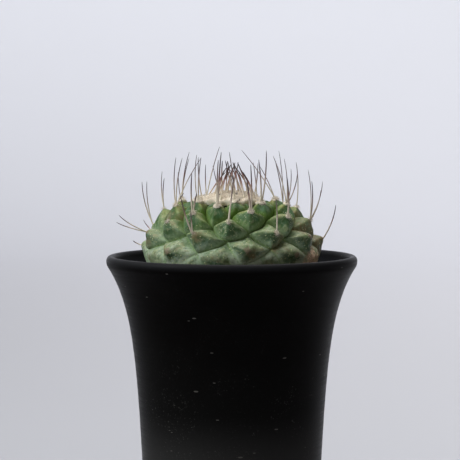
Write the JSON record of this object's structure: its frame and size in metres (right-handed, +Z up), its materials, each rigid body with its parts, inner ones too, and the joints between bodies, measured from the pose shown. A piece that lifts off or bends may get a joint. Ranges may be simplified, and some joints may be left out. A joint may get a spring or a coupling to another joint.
{
  "type": "potted strombocactus",
  "caption": "Flattened globe cactus with spiral tubercles, woolly crown and bristly spines, planted in grit in a tall flared matt black pot.",
  "frame": {"origin": "middle of the pot's foot, on the surface that the pot stands on", "axes": "+Z up along the pot's and the plant's axis; -Y is the side that the picture shows; +X is to the picture's right"},
  "size_m": [0.09, 0.09, 0.1345],
  "materials": {
    "black_pot_clay": "matte",
    "green_plastic_net": "satin",
    "grit_soil": "matte",
    "cactus_skin": "satin",
    "crown_wool": "matte"
  },
  "bodies": {
    "root": {"pot": "black_pot_clay", "drain_net": "green_plastic_net", "soil": "grit_soil", "cactus": "cactus_skin", "crown": "crown_wool"}
  },
  "joints": []
}
